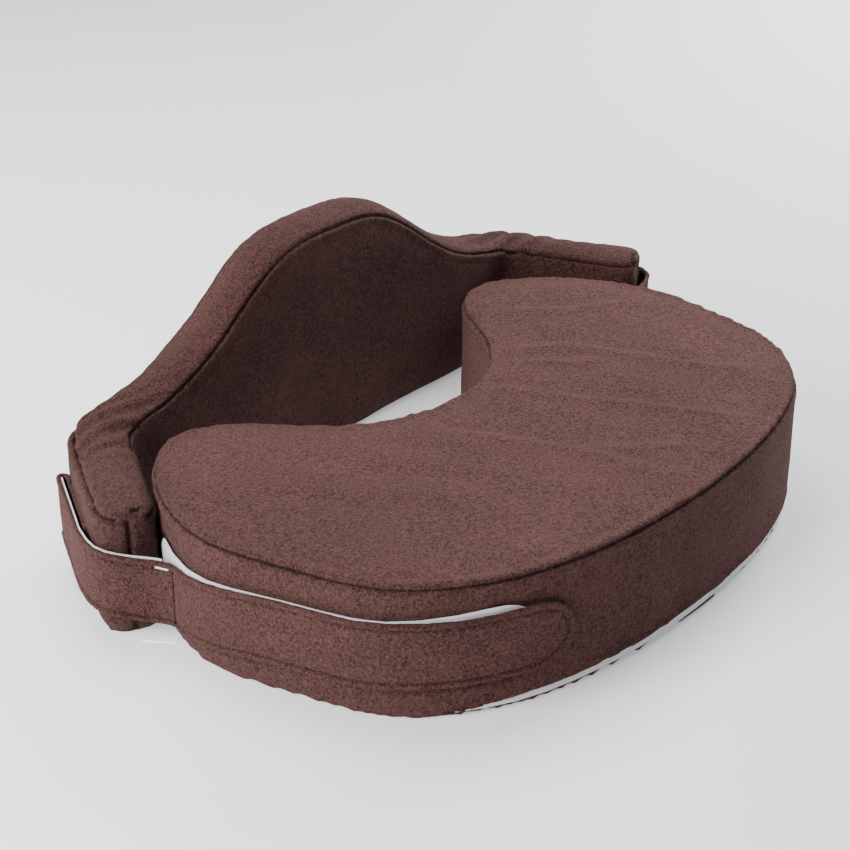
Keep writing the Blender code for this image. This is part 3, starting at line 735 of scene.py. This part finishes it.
flap_points = points_of(nodes["near_flap_cover"].data)[:, :2]
flap_apart = np.linalg.norm(flap_points - JOIN, axis=1)
before_end = abs(flap_apart - flap_apart.max() + FLAP_END).argmin()
flap_way = flap_points[flap_apart.argmax()] - flap_points[before_end]
flap_way /= np.linalg.norm(flap_way)


def along_rim(edge):
    """True for an edge of a belt, but not for the cut end under the join."""
    a, b = (v.co for v in edge.verts)
    upright = (a - b).xy.length < 0.002
    return not (upright and np.linalg.norm(np.array(a.xy) - JOIN) < JOIN_REACH)


def hang(points, top=None, flap=False):
    """Lets the belt sag at its join, narrows it towards its top edge, and stretches the flap."""
    apart = np.linalg.norm(points[:, :2] - JOIN, axis=1)
    if top:
        points[:, 2] += (top - points[:, 2]) * NARROWER
    points[:, 2] -= SAG * bell(apart, SAG_REACH)
    if flap:
        far = np.clip((apart - FLAP_STRETCH_FROM) / (apart.max() - FLAP_STRETCH_FROM), 0, 1)
        points[:, 2] += FLAP_LIFT * far
        points[:, :2] += flap_way * (FLAP_STRETCH * far**2)[:, None]
    return points


def hung(name, node_name, body, material):
    """A CAD solid that hangs with the belt."""
    copy = bpy.data.objects.new(name, nodes[node_name].data.copy())
    bpy.context.scene.collection.objects.link(copy)
    points = points_of(copy.data)
    if node_name == "near_belt_tape":
        points[points[:, 2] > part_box(node_name)[1].z - LINING_TOP, 2] -= LINING_DROP
    place_points(copy.data, hang(points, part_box("near_belt")[1].z, body == "near_flap"))
    finish_piece(copy, body, "tape", material, node_name)
    copy.data.set_sharp_from_angle(angle=CREASE)


def fleece_strip(name, node_name, body, material, seed):
    """A belt piece with a rolled hem, a stitch line inside it, and an uneven pile."""
    strip = cloth_copy(name, (node_name,), STRIP_VOXEL)
    soften(strip.data, 3)
    points = points_of(strip.data)
    normals = normals_of(strip.data)
    distance, _ = nearest(points, rim_lines(node_name, along_rim))
    shift = HEM_HEIGHT * bell(distance - HEM_MIDDLE, HEM_WIDTH) + RIM_HEIGHT * bell(distance, HEM_WIDTH)
    shift -= STITCH_DEPTH * bell(distance - STITCH_INSET, STITCH_WIDTH)
    for scale, height in PILE_WAVES:
        shift += cloth_noise(points, scale, seed) * height
    points += normals * shift[:, None]
    points[:, 2] += cloth_noise(points * np.array((1, 1, 0)), 22, seed + 4) * EDGE_WAVE
    if node_name.startswith("near"):
        points = hang(points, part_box("near_belt")[1].z, body == "near_flap")
    place_points(strip.data, points)
    # Painted shade along the stitch line.
    mark_painted_seam_shade(strip.data, PAINTED_STITCH_SHADE * bell(distance - STITCH_INSET, SHADE_NARROW))
    finish_piece(strip, body, "fleece", material, node_name)


# The belts wear a paler copy of the fleece: painted light.
belt_fleece_painted_light = fleece("belt fleece painted light", depth=1.2, light=1.04)
fleece_strip("near_belt_cloth", "near_belt", "backrest", belt_fleece_painted_light, 1.0)
fleece_strip("near_flap_cloth", "near_flap_cover", "near_flap", belt_fleece_painted_light, 6.0)
fleece_strip("far_link_cloth", "far_link", "backrest", belt_fleece_painted_light, 11.0)
fleece_strip("far_patch_cloth", "far_link_patch", "platform", belt_fleece_painted_light, 15.0)

# Hook-and-loop tape
# White nylon tape: tiny loops on the strip sewn to the platform and inside the belt, stiff
# hooks under the flap. The platform's strip is wider where it starts.

TAPE_WHITE = (0.80, 0.80, 0.82)
TAPE_SHADE = 0.86  # between the loops


def tape(name, scale, height, colour=TAPE_WHITE, painted_glow=0.0):
    """White nylon or polyester, with painted light as an emission glow that stands in for the shine of satin.
    """
    white = Finish(
        name, Sheen_Weight=0.10, Specular_IOR_Level=0.3, Emission_Strength=painted_glow, Emission_Color=(1, 1, 1, 1)
    )
    loops = white.speckle(scale, detail=2.0)
    shade = tuple(channel * TAPE_SHADE for channel in colour)
    white.feed("Base Color", white.between(loops, shade, colour))
    white.feed("Roughness", loops * 0.2 + 0.6)
    white.bump(loops, 0.6, height)
    return white.material


loop_white = tape("loop tape", 1500, 0.0004)
hook_white = tape("hook tape", 900, 0.0006)


def dress(node_name, material):
    """A CAD solid whose shape is right keeps it and gets its finish."""
    mesh = nodes[node_name].data
    mesh.materials.clear()
    mesh.materials.append(material)


hung("near_belt_lining", "near_belt_tape", "backrest", loop_white)
hung("near_flap_hooks", "near_flap_hook_tape", "near_flap", hook_white)

PRESSED = 0.0019  # how far behind the tape's face the pile ends
PRESS_REACH = 0.007


def press(mesh, tape_mesh):
    """Flattens the pile under a tape that is sewn down on it."""
    skin = skin_of(tape_mesh)
    points = points_of(mesh)
    normals = normals_of(mesh)
    for i, point in enumerate(points):
        foot, _, _, distance = skin.find_nearest(point, PRESS_REACH)
        if foot is not None:
            proud = (point - np.array(foot)) @ normals[i] + PRESSED
            share = min(1.0, 1.6 * (1 - distance / PRESS_REACH))
            points[i] -= normals[i] * max(0.0, proud) * share
    place_points(mesh, points)


CORNER_RADIUS = 0.011
TAPE_RISE = 0.0035  # at its start
RISE_REACH = 0.022
TAPE_DIP = 0.0045  # in its middle, where the flap nearly hides it
DIP_MIDDLE = 0.155
DIP_REACH = 0.10
LOWER_SHARE = 0.70  # the strip's lower edge stays behind the flap

# The strip on the platform has a rounded upper corner where it starts.
low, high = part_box("near_loop_tape")
strip = bmesh.new()
strip.from_mesh(nodes["near_loop_tape"].data)
bmesh.ops.remove_doubles(strip, verts=strip.verts, dist=1e-6)
bmesh.ops.join_triangles(strip, faces=strip.faces, angle_face_threshold=0.02, angle_shape_threshold=3.1)
upright = [e for e in strip.edges if abs(e.verts[0].co.z - e.verts[1].co.z) > 0.02]
bmesh.ops.subdivide_edges(strip, edges=upright, cuts=14, use_grid_fill=True)
lengthwise = [e for e in strip.edges if (e.verts[0].co - e.verts[1].co).xy.length > 0.003]
bmesh.ops.subdivide_edges(strip, edges=lengthwise, cuts=3, use_grid_fill=True)
middle = (low.z + high.z) / 2
start = max((v.co.copy() for v in strip.verts), key=lambda p: p.y)
for v in strip.verts:
    travelled = (v.co - start).xy.length
    if v.co.z < middle:
        v.co.z = middle + (v.co.z - middle) * LOWER_SHARE
        continue
    short = max(0.0, CORNER_RADIUS - travelled)
    rounding = CORNER_RADIUS - math.sqrt(max(0.0, CORNER_RADIUS**2 - short**2))
    rise = TAPE_RISE * math.exp(-travelled / RISE_REACH)
    rise -= TAPE_DIP * math.exp(-(((travelled - DIP_MIDDLE) / DIP_REACH) ** 4))
    top = high.z - middle
    v.co.z = middle + (v.co.z - middle) * (top + rise - rounding) / top
loop_mesh = bpy.data.meshes.new("near_loop_strip")
strip.to_mesh(loop_mesh)
strip.free()
place_points(loop_mesh, hang(points_of(loop_mesh), None, True))
loop_strip = bpy.data.objects.new("near_loop_strip", loop_mesh)
bpy.context.scene.collection.objects.link(loop_strip)
finish_piece(loop_strip, "platform", "tape", loop_white, "near_loop_tape")
press(platform.data, loop_mesh)
loop_strip.data.set_sharp_from_angle(angle=CREASE)

# Zips
# White nylon coil between two woven tapes, with plated stops, slider and pull. The platform's
# zip follows its curved bottom seam; the backrest's runs straight along its back.

WOVEN_SHADE = (0.66, 0.66, 0.68)
WOVEN_WHITE = (0.84, 0.84, 0.85)
RIBS = 420
THREADS = 1600
NICKEL_DARK = (0.55, 0.55, 0.57)
NICKEL_PALE = (0.76, 0.76, 0.78)
COIL_WHITE = (0.78, 0.78, 0.80)


def woven_tape(name):
    """A close twill, with ribs that lean along the tape."""
    cloth = Finish(name, Specular_IOR_Level=0.35)
    settings = {"wave_type": "BANDS", "bands_direction": "DIAGONAL"}
    values = {"Vector": cloth.place, "Scale": RIBS, "Distortion": 0.6}
    ribs = cloth.node("ShaderNodeTexWave", settings, values, output="Fac")
    threads = cloth.speckle(THREADS)
    cloth.feed("Base Color", cloth.between(ribs * 0.6 + threads * 0.4, WOVEN_SHADE, WOVEN_WHITE))
    cloth.feed("Roughness", threads * 0.2 + 0.6)
    cloth.bump(ribs * 0.7 + threads * 0.3, 0.5, 0.0003)
    return cloth.material


def plated(name):
    """Nickel plate with fine scratches."""
    metal = Finish(name, Metallic=1.0)
    scratches = metal.speckle(900, detail=6.0, stretch=(1, 1, 6))
    metal.feed("Base Color", metal.between(scratches, NICKEL_DARK, NICKEL_PALE))
    metal.feed("Roughness", scratches * 0.25 + 0.18)
    metal.bump(scratches, 0.15, 0.0001)
    return metal.material


zip_tape = woven_tape("zip tape")
coil_plastic = tape("zip coil", 600, 0.0003, COIL_WHITE)
nickel = plated("zip metal")
for prefix in ("platform", "backrest"):
    dress(f"{prefix}_zip_tape_lower", zip_tape)
    dress(f"{prefix}_zip_tape_upper", zip_tape)
    dress(f"{prefix}_zip_coil", coil_plastic)
    for piece in ("start_stop", "end_stop", "slider", "pull"):
        dress(f"{prefix}_zip_{piece}", nickel)

# Small sewn pieces
# A satin care label, and white polyester thread in the bar tacks and the far patch's seams.

SATIN_WHITE = (0.95, 0.95, 0.96)
SATIN_PAINTED_GLOW = 0.5
THREAD_WHITE = (0.86, 0.85, 0.82)

# The care label glows a little: painted light.
dress("care_label", tape("label satin painted glow", 1800, 0.0002, SATIN_WHITE, SATIN_PAINTED_GLOW))
thread = tape("white thread", 2200, 0.0003, THREAD_WHITE)
hung("near_bar_stitches", "near_bar_tack", "backrest", thread)
for node_name in ("far_patch_stitching_back", "far_patch_stitching_front"):
    dress(node_name, thread)
